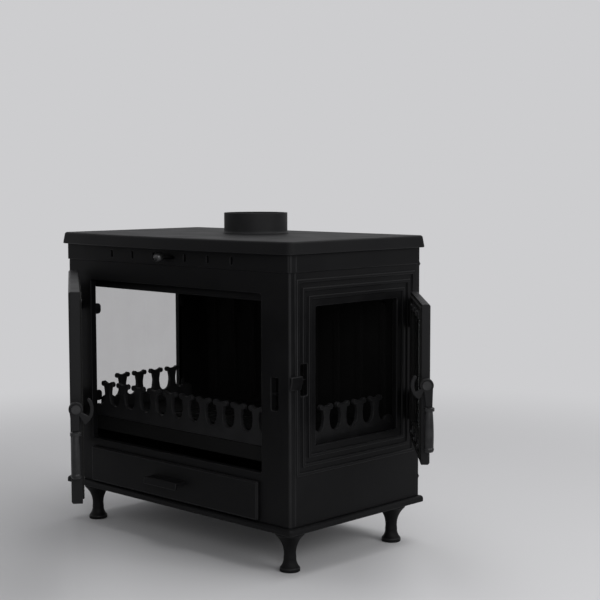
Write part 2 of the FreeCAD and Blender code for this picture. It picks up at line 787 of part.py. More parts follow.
# Fixed window in the left side, held from inside by clips
pane = new_body("left_window_glass")
profile = sketch_on(pane, "YZ", "-side_inner")
rectangle(
    profile, "left_front - pane_lap", "left_rear + pane_lap",
    "window_sill - pane_lap", "left_head + pane_lap", "opening_round",
)
pad(pane, profile, "pane_thick")
clips = new_body("left_window_clips", several=True)
clip_ends = (
    ("left_front - 2 * pane_lap", "left_front - pane_lap - glass_play", "left_front + pane_clip_reach"),
    ("left_rear + 2 * pane_lap", "left_rear + pane_lap + glass_play", "left_rear + pane_lap / 2"),
)
for height, reverse, inner_end in (("pane_clip_thick", False, 2), ("pane_thick", True, 1)):
    profile = sketch_on(clips, "YZ", "-side_inner + pane_thick")
    for ends in clip_ends:
        for middle in ("pane_clip_low", "pane_clip_high"):
            low, high = f"{middle} - pane_clip / 2", f"{middle} + pane_clip / 2"
            rectangle(profile, ends[0], ends[inner_end], low, high)
    pad(clips, profile, height, reverse=reverse)

# Air control: a slotted slider behind the front, two guides and a knob on a stem
slider = new_body("air_slider")
profile = sketch_on(slider, "XZ", "-front_inner - slider_gap - slider_thick")
slider_half = "slot_reach + slider_end"
slider_foot, slider_head = "slot_line - slider_tall / 2", "slot_line + slider_tall / 2"
rectangle(profile, f"-({slider_half})", slider_half, slider_foot, slider_head)
pad(slider, profile, "slider_thick")
profile = sketch_on(slider, "XZ", "-front_inner + overrun")
for side in ("-", ""):
    for step in range(sizes["slot_steps"] + 1):
        place = f"{side}(slot_first + {step} * slot_pitch)"
        upright_slot(profile, place, "slot_line", "slot_width", "slot_tall")
cut(slider, profile, "slider_thick + slider_gap + 2 * overrun")
guides = new_body("air_guides", several=True)
guide_half_length = f"{slider_half} + slider_travel"
for edge in (-1, 1):
    profile = sketch_on(guides, "YZ", f"-({guide_half_length})")
    inner = f"slot_line + {edge} * (slider_tall / 2 + slider_gap)"
    outer = f"{inner} + {edge} * guide_thick"
    lip = f"slot_line + {edge} * (slider_tall / 2 - guide_lip)"
    hook = "slider_back + slider_gap"
    corners = [
        ("front_inner", inner), ("front_inner", outer), (f"{hook} + guide_thick", outer),
        (f"{hook} + guide_thick", lip), (hook, lip), (hook, inner),
    ]
    outline(profile, corners if edge < 0 else corners[::-1])
    pad(guides, profile, f"2 * ({guide_half_length})")
knob = new_body("air_knob")
profile = sketch_on(knob, "XY")
ball = "front_face - cornice_rise - knob_stand"
outline(profile, [
    ("0", f"{ball} - knob_radius", "knob_radius * (1 - sin(asin(stem_radius / knob_radius) / 2))"),
    ("stem_radius", f"{ball} + sqrt(knob_radius^2 - stem_radius^2)"),
    ("stem_radius", "front_inner + slider_gap"), ("0", "front_inner + slider_gap"),
])
turned(knob, profile)
put(knob, "-knob_rest", "0", "slot_line")

# Ash drawer on two runners
runners = new_body("drawer_runners", several=True)
profile = sketch_on(runners, "XY", "base_top")
for side in ("-", ""):
    outer = f"{side}(drawer_half - runner_gap)"
    inner = f"{side}(drawer_half - runner_gap - runner_width)"
    rectangle(profile, outer, inner, "front_inner + wear_gap", "front_face + drawer_length")
pad(runners, profile, "drawer_sill - base_top")
pan = new_body("ash_pan")
profile = sketch_on(pan, "XY", "drawer_floor")
rectangle(profile, "-drawer_half", "drawer_half", "front_face", "front_face + drawer_length")
pad(pan, profile, "drawer_head - drawer_gap - drawer_floor")
profile = sketch_on(pan, "XY", "drawer_head - drawer_gap + overrun")
rectangle(
    profile, "-drawer_half + drawer_wall", "drawer_half - drawer_wall",
    "front_face + drawer_wall", "front_face + drawer_length - drawer_wall",
)
cut(pan, profile, "drawer_head - drawer_gap - drawer_floor - drawer_wall + overrun")
facing = new_body("ash_drawer_front")
profile = sketch_on(facing, "XZ", "-front_face")
lap = "drawer_half + drawer_gap + drawer_front_lap"
facing_foot, facing_head = "base_top + drawer_gap", "drawer_head + drawer_front_lap"
rectangle(profile, f"-({lap})", lap, facing_foot, facing_head, "opening_round")
pad(facing, profile, "drawer_front_thick")
facing_face = "front_face - drawer_front_thick"
soften(facing, "Chamfer", "leaf_chamfer", lambda edge: (
    near(edge.BoundBox.YMin, facing_face) and near(edge.BoundBox.YMax, facing_face)
))
put(facing, "0", "-wear_gap", "0")
pull = new_body("ash_drawer_pull")
profile = sketch_on(pull, "YZ", "-drawer_pull_width / 2")
pull_face = "front_face - drawer_front_thick - wear_gap"
pull_top = "(drawer_sill + drawer_head) / 2 + drawer_pull_thick"
outline(profile, [
    (pull_face, f"{pull_top} - drawer_pull_thick"), (pull_face, pull_top),
    (f"{pull_face} - drawer_pull_reach", pull_top, "drawer_pull_thick / 4"),
    (f"{pull_face} - drawer_pull_reach - drawer_pull_thick / 2", f"{pull_top} - drawer_pull_drop"),
    (f"{pull_face} - drawer_pull_reach + drawer_pull_thick / 2", f"{pull_top} - drawer_pull_drop"),
    (f"{pull_face} - drawer_pull_reach + drawer_pull_thick / 2", f"{pull_top} - drawer_pull_thick"),
][::-1])
pad(pull, profile, "drawer_pull_width")


# Doors are drawn about their hinge line, the leaf along X, then hung open on their pins
doors = {
    "front": {
        "hand": 1, "leaf": "front_leaf", "reach": "front_door_reach", "foot": "front_door_foot",
        "head": "front_door_head", "axis": ("front_axis_x", "front_axis_y"), "turn": "-front_open",
        "near": "front_hinge_offset", "far": "front_hinge_offset + fire_width",
        "sill": "fire_sill", "lintel": "fire_lintel", "hub": "front_hub_height",
        "hinges": ("front_hinge_low", "front_hinge_high"),
    },
    "side": {
        "hand": -1, "leaf": "side_leaf", "reach": "side_door_reach", "foot": "side_door_foot",
        "head": "side_door_head", "axis": ("side_axis_x", "side_axis_y"),
        "turn": f"{quarter_turn} + side_open",
        "near": "side_hinge_offset", "far": "side_hinge_offset + window_width",
        "sill": "window_sill", "lintel": "window_head", "hub": "side_hub_height",
        "hinges": ("side_hinge_low", "side_hinge_high"),
    },
}


def hang(body, door, along="0", out="0", up="0"):
    x, y, turn = (*door["axis"], door["turn"])
    put(
        body, f"{x} + ({along}) * cos({turn}) - ({out}) * sin({turn})",
        f"{y} + ({along}) * sin({turn}) + ({out}) * cos({turn})", up,
    )
    body.setExpression("Placement.Rotation.Angle", bound(turn))


def make_door(name, door):
    sign = "" if door["hand"] > 0 else "-"
    leaf, hub, stand = door["leaf"], door["hub"], f"{name}_neck_stand"
    inside, outside = f"-{leaf} / 2", f"{leaf} / 2"

    def across(text):
        return f"{sign}({text})"

    def ring(sketch, grow, corner=None):
        rectangle(
            sketch, across(f"{door['near']} - ({grow})"), across(f"{door['far']} + {grow}"),
            f"{door['sill']} - ({grow})", f"{door['lintel']} + {grow}", corner,
        )

    # Leaf with a rabbet for the glass, a groove for the gasket and a stepped outer face
    panel = new_body(f"{name}_door_frame")
    profile = sketch_on(panel, "XZ", inside)
    rectangle(profile, across("leaf_start"), across(door["reach"]), door["foot"], door["head"])
    pad(panel, profile, leaf)
    soften(panel, "Chamfer", "leaf_chamfer", lambda edge: (
        near(edge.BoundBox.YMin, f"-{leaf} / 2") and near(edge.BoundBox.YMax, f"-{leaf} / 2")
    ))
    for low in door["hinges"]:
        profile = sketch_on(panel, "XY", f"{low} + lug_tall + hinge_gap")
        tongue = [
            (across("0"), "-lug_radius"), (across("leaf_start + overrun"), "-lug_radius"),
            (across("leaf_start + overrun"), "lug_radius"), (across("0"), "lug_radius", "lug_radius"),
        ]
        if door["hand"] < 0:
            tongue = [
                (across("leaf_start + overrun"), "-lug_radius"), (across("0"), "-lug_radius", "lug_radius"),
                (across("0"), "lug_radius"), (across("leaf_start + overrun"), "lug_radius"),
            ]
        outline(profile, tongue)
        pad(panel, profile, "knuckle_tall")
        profile = sketch_on(panel, "XY", f"{low} + lug_tall + knuckle_tall + overrun")
        circle(profile, "0", "0", "pin_radius + pin_clear")
        cut(panel, profile, "knuckle_tall + 2 * overrun")
    profile = sketch_on(panel, "XZ", f"{outside} + overrun")
    ring(profile, "-glass_inset", "opening_round")
    cut(panel, profile, f"{leaf} + 2 * overrun")
    profile = sketch_on(panel, "XZ", f"{outside} + overrun")
    ring(profile, "-glass_inset + leaf_border", "opening_round")
    cut(panel, profile, "leaf_panel_drop + overrun")
    profile = sketch_on(panel, "XZ", f"{inside} - overrun")
    ring(profile, "-glass_inset + glass_lap", "opening_round")
    cut(panel, profile, "rabbet_depth + overrun", reverse=True)
    profile = sketch_on(panel, "XZ", f"{inside} - overrun")
    ring(profile, "gasket_offset + gasket_width / 2")
    ring(profile, "gasket_offset - gasket_width / 2")
    cut(panel, profile, "gasket_groove + overrun", reverse=True)
    profile = sketch_on(panel, "YZ", across(door["reach"]))
    circle(profile, "0", hub, f"min(boss_radius, {leaf} / 2)")
    pad(panel, profile, "boss_length", reverse=door["hand"] < 0)
    profile = sketch_on(panel, "YZ", across(f"{door['reach']} + boss_length + overrun"))
    circle(profile, "0", hub, "pivot_radius + pin_seat")
    cut(panel, profile, "boss_length + pivot_bed + overrun", reverse=door["hand"] < 0)
    hang(panel, door)

    # Glass, its tape, the clips that hold it and the rope gasket
    glass = new_body(f"{name}_door_glass")
    profile = sketch_on(glass, "XZ", f"{inside} + rabbet_depth")
    ring(profile, "-glass_inset + glass_lap - glass_play", "opening_round")
    pad(glass, profile, "glass_thick", reverse=True)
    hang(glass, door)
    tape = new_body(f"{name}_glass_tape")
    profile = sketch_on(tape, "XZ", f"{inside} + rabbet_depth - glass_thick")
    ring(profile, "-glass_inset + glass_lap - glass_play", "opening_round")
    ring(profile, "-glass_inset + glass_play", "opening_round")
    pad(tape, profile, "rabbet_depth - glass_thick", reverse=True)
    hang(tape, door)
    clip = new_body(f"{name}_glass_clips", several=True)
    profile = sketch_on(clip, "XZ", inside)
    reach_in, reach_out = "glass_inset - glass_lap + clip_reach", "glass_inset - glass_lap - clip_seat"
    for share in clip_shares:
        middle = f"{door['near']} + ({door['far']} - ({door['near']})) * {share}"
        for rim, way in ((door["sill"], "+"), (door["lintel"], "-")):
            rectangle(
                profile, across(f"{middle} - clip_length / 2"), across(f"{middle} + clip_length / 2"),
                f"{rim} {way} ({reach_in})", f"{rim} {way} ({reach_out})",
            )
    pad(clip, profile, "clip_thick", reverse=True)
    hang(clip, door)
    rope = new_body(f"{name}_door_gasket")
    profile = sketch_on(rope, "XZ", f"{inside} + gasket_groove")
    ring(profile, "gasket_offset + gasket_width / 2")
    ring(profile, "gasket_offset - gasket_width / 2")
    pad(rope, profile, "gasket_groove + door_gap - gasket_clear", reverse=True)
    hang(rope, door)

    # Pins that stand in the lugs and carry the knuckles
    pins = new_body(f"{name}_hinge_pins", several=True)
    for low in door["hinges"]:
        profile = sketch_on(pins, "XY", low)
        circle(profile, *door["axis"], "pin_radius")
        pad(pins, profile, "lug_tall + hinge_gap + knuckle_tall + hinge_gap")
        profile = sketch_on(pins, "XY", f"{low} + lug_tall + knuckle_tall + 2 * hinge_gap")
        circle(profile, *door["axis"], "pin_cap")
        pad(pins, profile, "pin_radius")

    # Pivot screw in the free edge
    flip = door["hand"] < 0
    pivot = new_body(f"{name}_latch_pivot")
    profile = sketch_on(pivot, "YZ", across(f"{door['reach']} - pivot_bed"))
    circle(profile, "0", hub, "pivot_radius")
    pad(pivot, profile, "pivot_bed + latch_from + latch_thick + latch_gap", reverse=flip)
    profile = sketch_on(pivot, "YZ", across(f"{door['reach']} + latch_from + latch_thick + latch_gap"))
    circle(profile, "0", hub, "pivot_head_radius")
    pad(pivot, profile, "pivot_head", reverse=flip)
    hang(pivot, door)

    # Claw: a curved prong about the pivot that takes the bar in the frame's slot
    claw = new_body(f"{name}_latch")
    plane = across(f"{door['reach']} + latch_from")
    inner, outer = claw_reach[leaf], f"({claw_reach[leaf]} + claw_width)"
    profile = sketch_on(claw, "YZ", plane)
    circle(profile, "0", hub, "hub_radius")
    pad(claw, profile, "latch_thick", reverse=flip)

    def spoke(radius, angle):
        return f"({radius}) * cos({angle})", f"{hub} + ({radius}) * sin({angle})"

    sweep = "(claw_top + claw_foot) / 2"
    profile = sketch_on(claw, "YZ", plane)
    outline(profile, [
        (*spoke("hub_radius / 2", "-claw_foot"),),
        (*spoke(outer, "-claw_foot"), f"{outer} * (1 - cos({sweep}))"),
        (*spoke(outer, "claw_top"), "claw_width / 2"),
        (*spoke(inner, "claw_top"), f"-({inner}) * (1 - cos((claw_top + claw_open) / 2))"),
        (*spoke(inner, "-claw_open"),),
        (*spoke("hub_radius / 2", "-claw_open"),),
    ])
    pad(claw, profile, "latch_thick", reverse=flip)
    profile = sketch_on(claw, "YZ", plane)
    outline(profile, [
        (f"-{stand} - neck_width / 2", f"{hub} - neck_drop"),
        (f"-{stand} + neck_width / 2", f"{hub} - neck_drop"),
        ("hub_radius * neck_front_share", f"{hub} - hub_radius * neck_rise_share"),
        ("-hub_radius * neck_rear_share", f"{hub} - hub_radius * neck_rise_share"),
    ])
    pad(claw, profile, "latch_thick", reverse=flip)
    profile = sketch_on(claw, "YZ", across(f"{door['reach']} + latch_from + latch_thick + overrun"))
    circle(profile, "0", hub, "pivot_radius + pin_clear")
    cut(claw, profile, "latch_thick + 2 * overrun", reverse=flip)
    hang(claw, door)

    # Turned grip under the neck
    grip = new_body(f"{name}_grip")
    profile = sketch_on(grip, "XZ")
    outline(profile, [
        ("0", "-grip_tall"), ("grip_waist", "-grip_tall", "grip_waist / 4"),
        ("grip_radius", "-grip_tall + grip_radius", "grip_waist / 6"), ("grip_waist", "-ferrule_tall"),
        ("ferrule_radius", "-ferrule_tall"), ("ferrule_radius", "-ferrule_tall / 4"),
        ("grip_waist", "0"), ("0", "0"),
    ])
    turned(grip, profile)
    hang(grip, door, across(f"{door['reach']} + latch_middle"), f"-{stand}", f"{hub} - neck_drop")


for name, door in doors.items():
    make_door(name, door)

# Every object has to be sound before anything is written
doc.recompute()
for item in doc.Objects:
    if "Invalid" in item.State or "Error" in item.State:
        raise RuntimeError(f"{item.Label} failed: {item.State}")
os.makedirs("parts", exist_ok=True)
for part in parts:
    if part.Shape.isNull() or not part.Shape.isValid() or not part.Shape.Solids:
        raise RuntimeError(f"{part.Label} has no sound shape")
for part in parts:
    part.Shape.exportStep(f"parts/{part.Label}.step")
print(f"{len(parts)} sub-parts written")
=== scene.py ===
import json
import math

import bmesh
import bpy
from mathutils import Matrix, Vector


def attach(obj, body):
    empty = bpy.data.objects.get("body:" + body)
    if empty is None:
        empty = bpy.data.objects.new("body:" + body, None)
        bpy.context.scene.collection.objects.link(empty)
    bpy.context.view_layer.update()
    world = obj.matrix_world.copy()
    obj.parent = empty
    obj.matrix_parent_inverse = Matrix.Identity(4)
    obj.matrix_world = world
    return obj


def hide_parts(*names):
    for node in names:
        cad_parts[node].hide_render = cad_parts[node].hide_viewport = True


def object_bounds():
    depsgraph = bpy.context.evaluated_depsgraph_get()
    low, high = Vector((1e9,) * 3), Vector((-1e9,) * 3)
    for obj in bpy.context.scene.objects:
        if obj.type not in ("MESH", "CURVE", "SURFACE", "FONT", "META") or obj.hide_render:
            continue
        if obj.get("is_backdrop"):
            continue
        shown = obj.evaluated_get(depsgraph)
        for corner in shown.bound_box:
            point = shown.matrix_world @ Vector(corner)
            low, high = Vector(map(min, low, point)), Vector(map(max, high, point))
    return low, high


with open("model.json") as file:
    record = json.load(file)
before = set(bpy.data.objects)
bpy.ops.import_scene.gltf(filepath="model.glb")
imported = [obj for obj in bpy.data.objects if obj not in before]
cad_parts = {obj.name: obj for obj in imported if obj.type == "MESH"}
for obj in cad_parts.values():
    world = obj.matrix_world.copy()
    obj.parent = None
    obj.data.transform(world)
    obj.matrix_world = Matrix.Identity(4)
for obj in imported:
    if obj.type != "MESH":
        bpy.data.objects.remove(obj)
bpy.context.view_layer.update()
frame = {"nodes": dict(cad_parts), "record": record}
mm = 0.001
nodes = frame["nodes"]
record = frame["record"]
bodyOf = {node: body for body, members in record["behaviour"]["bodies"].items() for node in members}
slotOf = {entry["node"]: entry["material_slot"] for entry in record["subparts"]}
print("frame loaded:", len(nodes), "nodes")


# Doors at rest: hinge line, turn and the opening that each one closes, drawn along the leaf

doorRest = {
    "front": {
        "axisMm": (-338, -226), "turnDegrees": -36.5, "hand": 1, "leafMm": 22, "spanMm": (48, 628),
        "sillMm": 212, "lintelMm": 594,
    },
    "side": {
        "axisMm": (388, 176), "turnDegrees": 133.5, "hand": -1, "leafMm": 18, "spanMm": (43.5, 308.5),
        "sillMm": 272, "lintelMm": 567,
    },
}


def onDoor(door, along, out, up):
    # millimetres along the leaf, towards its inner face and up, to metres in the shared frame
    turn = math.radians(door["turnDegrees"])
    x, y = door["hand"] * along, out
    return Vector((door["axisMm"][0] + x * math.cos(turn) - y * math.sin(turn),
                   door["axisMm"][1] + x * math.sin(turn) + y * math.cos(turn), up)) * mm


def inwardOf(door):
    return (onDoor(door, 0, 1, 0) - onDoor(door, 0, 0, 0)).normalized()


# Materials

def linear(hexColour):
    # sRGB hex to linear
    shares = [int(hexColour[i:i + 2], 16) / 255 for i in (1, 3, 5)]
    return (*[s / 12.92 if s <= 0.04045 else ((s + 0.055) / 1.055) ** 2.4 for s in shares], 1.0)


def addNode(tree, kind, values=None, links=None, stops=(), **settings):
    # one node with its settings, socket values, incoming links and, on a ramp, its colours
    node = tree.nodes.new(kind)
    for name, value in settings.items():
        setattr(node, name, value)
    for socket, value in (values or {}).items():
        node.inputs[socket].default_value = value
    for socket, source in (links or {}).items():
        tree.links.new(source, node.inputs[socket])
    for index, (position, hexColour) in enumerate(stops):
        node.color_ramp.elements[index].position = position
        node.color_ramp.elements[index].color = linear(hexColour)
    return node


def startMaterial(name):
    # a shader joined to its output, and Object coordinates for its patterns
    material = bpy.data.materials.new(name)
    material.use_nodes = True
    tree = material.node_tree
    tree.nodes.clear()
    shader = addNode(tree, "ShaderNodeBsdfPrincipled")
    addNode(tree, "ShaderNodeOutputMaterial", links={"Surface": shader.outputs[0]})
    place = addNode(tree, "ShaderNodeTexCoord").outputs["Object"]
    return material, tree, shader, place


ironSkin = {
    "toneFrom": 0.3, "toneTo": 0.7, "blotchDetail": 3.0, "grainDetail": 2.0, "grainStrength": 0.6,
    "swellDetail": 1.0, "swellStrength": 0.5,
}


def paintedIron(name, look):
    # Sand-cast grey iron under matt heat-proof paint: a fine pebbled skin from the mould sand,
    # slow swells of the casting, and a sheen that comes up only at a low angle.
    material, tree, shader, place = startMaterial(name)
    blotch = addNode(tree, "ShaderNodeTexNoise", {
        "Scale": 1 / (look["blotchMm"] * mm), "Detail": ironSkin["blotchDetail"],
    }, {"Vector": place})
    tint = addNode(tree, "ShaderNodeValToRGB", links={"Fac": blotch.outputs[0]}, stops=(
        (ironSkin["toneFrom"], look["dark"]), (ironSkin["toneTo"], look["light"])))
    tree.links.new(tint.outputs[0], shader.inputs["Base Color"])
    sheen = addNode(tree, "ShaderNodeMapRange", {
        "From Min": ironSkin["toneFrom"], "From Max": ironSkin["toneTo"],
        "To Min": look["roughness"] - look["roughPlay"], "To Max": look["roughness"] + look["roughPlay"],
    }, {"Value": blotch.outputs[0]})
    tree.links.new(sheen.outputs[0], shader.inputs["Roughness"])
    shader.inputs["Specular IOR Level"].default_value = look["specular"]
    # mould sand of about half a millimetre, drawn coarser so that it shows
    grain = addNode(tree, "ShaderNodeTexNoise", {
        "Scale": 1 / (look["grainMm"] * mm), "Detail": ironSkin["grainDetail"],
    }, {"Vector": place})
    swell = addNode(tree, "ShaderNodeTexNoise", {
        "Scale": 1 / (look["swellMm"] * mm), "Detail": ironSkin["swellDetail"],
    }, {"Vector": place})
    low = addNode(tree, "ShaderNodeBump", {
        "Strength": ironSkin["swellStrength"], "Distance": look["swellDeepMm"] * mm,
    }, {"Height": swell.outputs[0]})
    skin = addNode(tree, "ShaderNodeBump", {
        "Strength": ironSkin["grainStrength"], "Distance": look["grainDeepMm"] * mm,
    }, {"Height": grain.outputs[0], "Normal": low.outputs[0]})
    tree.links.new(skin.outputs[0], shader.inputs["Normal"])
    return material


steelSkin = {
    "toneFrom": 0.35, "toneTo": 0.7, "glossFrom": 0.3, "glossTo": 0.7, "smearDetail": 4.0,
    "turningDetail": 1.0, "turningStretch": (0.2, 0.2, 1.0), "turningStrength": 0.25,
}


def blackenedSteel(name, look):
    # Oil-blackened turned steel: smoother than the castings, faint turning lines, soft glints.
    material, tree, shader, place = startMaterial(name)
    smear = addNode(tree, "ShaderNodeTexNoise", {
        "Scale": 1 / (look["smearMm"] * mm), "Detail": steelSkin["smearDetail"],
    }, {"Vector": place})
    tint = addNode(tree, "ShaderNodeValToRGB", links={"Fac": smear.outputs[0]}, stops=(
        (steelSkin["toneFrom"], look["dark"]), (steelSkin["toneTo"], look["light"])))
    tree.links.new(tint.outputs[0], shader.inputs["Base Color"])
    gloss = addNode(tree, "ShaderNodeMapRange", {
        "From Min": steelSkin["glossFrom"], "From Max": steelSkin["glossTo"],
        "To Min": look["roughness"] - look["roughPlay"], "To Max": look["roughness"] + look["roughPlay"],
    }, {"Value": smear.outputs[0]})
    tree.links.new(gloss.outputs[0], shader.inputs["Roughness"])
    shader.inputs["Metallic"].default_value = look["metallic"]
    # turning lines of a tenth or two of a millimetre, drawn coarser so that they show
    stretched = addNode(tree, "ShaderNodeMapping", {"Scale": steelSkin["turningStretch"]},
                        {"Vector": place})
    turning = addNode(tree, "ShaderNodeTexNoise", {
        "Scale": 1 / (look["turningMm"] * mm), "Detail": steelSkin["turningDetail"],
    }, {"Vector": stretched.outputs[0]})
    line = addNode(tree, "ShaderNodeBump", {
        "Strength": steelSkin["turningStrength"], "Distance": look["turningDeepMm"] * mm,
    }, {"Height": turning.outputs[0]})
    tree.links.new(line.outputs[0], shader.inputs["Normal"])
    return material


paneSkin = {"hazeFrom": 0.45, "hazeTo": 0.8, "hazeDetail": 5.0, "ior": 1.53}


def ceramicGlass(name, look):
    # Ceramic stove glass: even and glossy, with a breath of wiped haze.
    material, tree, shader, place = startMaterial(name)
    haze = addNode(tree, "ShaderNodeTexNoise", {
        "Scale": 1 / (look["hazeMm"] * mm), "Detail": paneSkin["hazeDetail"],
    }, {"Vector": place})
    wiped = addNode(tree, "ShaderNodeMapRange", {
        "From Min": paneSkin["hazeFrom"], "From Max": paneSkin["hazeTo"],
        "To Min": 0.0, "To Max": look["haze"],
    }, {"Value": haze.outputs[0]})
    tree.links.new(wiped.outputs[0], shader.inputs["Roughness"])
    tint = addNode(tree, "ShaderNodeValToRGB", links={"Fac": haze.outputs[0]},
                   stops=((0.0, look["clear"]), (1.0, look["smoky"])))
    tree.links.new(tint.outputs[0], shader.inputs["Base Color"])
    shader.inputs["Transmission Weight"].default_value = 1.0
    shader.inputs["IOR"].default_value = paneSkin["ior"]
    return material


def glassFibreRope(name, look):
    # Knitted glass-fibre rope, graphite dipped: dull and hairy, with slightly paler threads,
    # drawn coarser than the real ones so that they show.
    material, tree, shader, place = startMaterial(name)
    fibre = addNode(tree, "ShaderNodeTexNoise", {
        "Scale": 1 / (look["fibreMm"] * mm), "Detail": look["fibreDetail"],
    }, {"Vector": place})
    tint = addNode(tree, "ShaderNodeValToRGB", links={"Fac": fibre.outputs[0]}, stops=(
        (look["toneFrom"], look["dark"]), (look["toneTo"], look["light"])))
    tree.links.new(tint.outputs[0], shader.inputs["Base Color"])
    shader.inputs["Roughness"].default_value = look["roughness"]
    shader.inputs["Specular IOR Level"].default_value = look["specular"]
    fuzz = addNode(tree, "ShaderNodeBump", {
        "Strength": look["fuzzStrength"], "Distance": look["fuzzMm"] * mm,
    }, {"Height": fibre.outputs[0]})
    tree.links.new(fuzz.outputs[0], shader.inputs["Normal"])
    return material


tape = {
    "dark": "#111111", "light": "#181817", "threadMm": 4.0, "waver": 0.6, "roughness": 0.9, "specular": 0.2,
    "bumpStrength": 0.35, "bumpMm": 0.2,
}
waveRate = 20  # radians that the wave texture turns in one unit at a scale of 1


def wovenTape(name, turnDegrees):
    # Flat woven glass-fibre tape: dull over-and-under threads, drawn four times as coarse
    # as the real ones so that they show.
    material, tree, shader, place = startMaterial(name)
    turned = addNode(tree, "ShaderNodeMapping", {"Rotation": (0.0, 0.0, math.radians(-turnDegrees))},
                     {"Vector": place})
    threads = []
    for direction in ("X", "Z"):
        wave = addNode(tree, "ShaderNodeTexWave", {
            "Scale": 2 * math.pi / waveRate / (tape["threadMm"] * mm), "Distortion": tape["waver"],
        }, {"Vector": turned.outputs[0]}, bands_direction=direction)
        threads.append(wave.outputs["Fac"])
    weave = addNode(tree, "ShaderNodeMath", links={0: threads[0], 1: threads[1]}, operation="MULTIPLY")
    tint = addNode(tree, "ShaderNodeValToRGB", links={"Fac": weave.outputs[0]},
                   stops=((0.0, tape["dark"]), (1.0, tape["light"])))
    tree.links.new(tint.outputs[0], shader.inputs["Base Color"])
    shader.inputs["Roughness"].default_value = tape["roughness"]
    shader.inputs["Specular IOR Level"].default_value = tape["specular"]
    bump = addNode(tree, "ShaderNodeBump", {
        "Strength": tape["bumpStrength"], "Distance": tape["bumpMm"] * mm,
    }, {"Height": weave.outputs[0]})
    tree.links.new(bump.outputs[0], shader.inputs["Normal"])
    return material


bodyIron = paintedIron("cast_iron_matt_black_paint", {  # deep black and dull
    "dark": "#0c0c0d", "light": "#111112", "blotchMm": 70, "grainMm": 2.2, "grainDeepMm": 0.12,
    "swellMm": 45, "swellDeepMm": 0.5, "roughness": 0.55, "roughPlay": 0.05, "specular": 0.09,
})
sideIron = paintedIron("cast_iron_satin_black_paint_sides", {  # a little smoother, with a faint gleam
    "dark": "#0b0b0c", "light": "#101011", "blotchMm": 70, "grainMm": 2.2, "grainDeepMm": 0.1,
    "swellMm": 45, "swellDeepMm": 0.4, "roughness": 0.45, "roughPlay": 0.05, "specular": 0.08,
})
doorIron = paintedIron("cast_iron_matt_black_paint_doors", {  # a little paler than the body paint
    "dark": "#131314", "light": "#181819", "blotchMm": 70, "grainMm": 2.2, "grainDeepMm": 0.12,
    "swellMm": 45, "swellDeepMm": 0.4, "roughness": 0.52, "roughPlay": 0.05, "specular": 0.12,
})
arrisHighlightIron = paintedIron("cast_iron_black_paint_arris_highlight", {  # paler and smoother: a painted highlight along the rounded arrises
    "dark": "#131314", "light": "#1b1b1c", "blotchMm": 50, "grainMm": 2.0, "grainDeepMm": 0.06,
    "swellMm": 45, "swellDeepMm": 0.3, "roughness": 0.46, "roughPlay": 0.06, "specular": 0.14,
})
bareIron = paintedIron("cast_iron_bare_dull", {  # no paint: greyer, with a coarser skin; its paler tone is also painted light for the collar's lit faces
    "dark": "#161617", "light": "#1f1f20", "blotchMm": 35, "grainMm": 2.4, "grainDeepMm": 0.16,
    "swellMm": 30, "swellDeepMm": 0.5, "roughness": 0.58, "roughPlay": 0.06, "specular": 0.14,
})
fireIron = paintedIron("cast_iron_bare_fire_side", {  # darker than the outside paint, and rough
    "dark": "#0a0a0a", "light": "#111111", "blotchMm": 40, "grainMm": 2.6, "grainDeepMm": 0.2,
    "swellMm": 30, "swellDeepMm": 0.6, "roughness": 0.8, "roughPlay": 0.08, "specular": 0.12,
})
lipSteel = paintedIron("steel_sheet_matt_black_paint", {  # rolled sheet: the same paint on a finer skin
    "dark": "#0e0e0f", "light": "#131314", "blotchMm": 60, "grainMm": 1.8, "grainDeepMm": 0.05,
    "swellMm": 80, "swellDeepMm": 0.2, "roughness": 0.5, "roughPlay": 0.05, "specular": 0.09,
})
darkSteel = blackenedSteel("steel_oil_blackened", {
    "dark": "#1c1c1d", "light": "#2a2a2b", "smearMm": 18, "roughness": 0.42, "roughPlay": 0.07,
    "metallic": 0.6, "turningMm": 1.2, "turningDeepMm": 0.05,
})
knobSteel = blackenedSteel("steel_knob_satin_black", {  # paler and smoother than the other steel
    "dark": "#3a3a3b", "light": "#4c4c4d", "smearMm": 9, "roughness": 0.34, "roughPlay": 0.05,
    "metallic": 0.7, "turningMm": 0.8, "turningDeepMm": 0.04,
})
stoveGlass = ceramicGlass("glass_ceramic_clear", {
    "clear": "#dddddd", "smoky": "#d4d3d3", "hazeMm": 60, "haze": 0.02,
})
doorGlass = ceramicGlass("glass_ceramic_smoked", {  # a dark grey tint
    "clear": "#6f7270", "smoky": "#4d4f4d", "hazeMm": 90, "haze": 0.03,
})
frontTape, sideTape = [
    wovenTape(f"glass_fibre_tape_{name}", door["turnDegrees"]) for name, door in doorRest.items()
]
ropeLook = glassFibreRope("glass_fibre_rope_graphite", {
    "dark": "#111111", "light": "#1a1a19", "toneFrom": 0.35, "toneTo": 0.75, "fibreMm": 1.4,
    "fibreDetail": 4.0, "roughness": 0.95, "specular": 0.15, "fuzzStrength": 0.4, "fuzzMm": 0.3,
})

slotLooks = {"cast_iron": bodyIron, "steel": darkSteel, "glass": stoveGlass, "rope": ropeLook}
nodeLooks = {"air_knob": knobSteel, "front_glass_tape": frontTape, "side_glass_tape": sideTape}
for look, members in (
    (doorGlass, ("front_door_glass", "side_door_glass")),
    (fireIron, ("hearth_plate", "grate", "fireback", "baffle_plate", "ash_pan", "drawer_runners",
                "air_guides")),
    (doorIron, ("front_door_frame", "side_door_frame", "front_latch", "side_latch")),
    (bareIron, ("front_fence", "left_fence", "right_fence", "flue_collar")),
    (sideIron, ("left_side_panel", "right_side_panel")),
):
    nodeLooks.update(dict.fromkeys(members, look))
for node, item in nodes.items():
    item.data.materials.clear()
    item.data.materials.append(nodeLooks.get(node, slotLooks[slotOf[node]]))
print("materials made")


# Castings: a copy of the CAD solid with its sharp arrises rounded as a mould leaves them

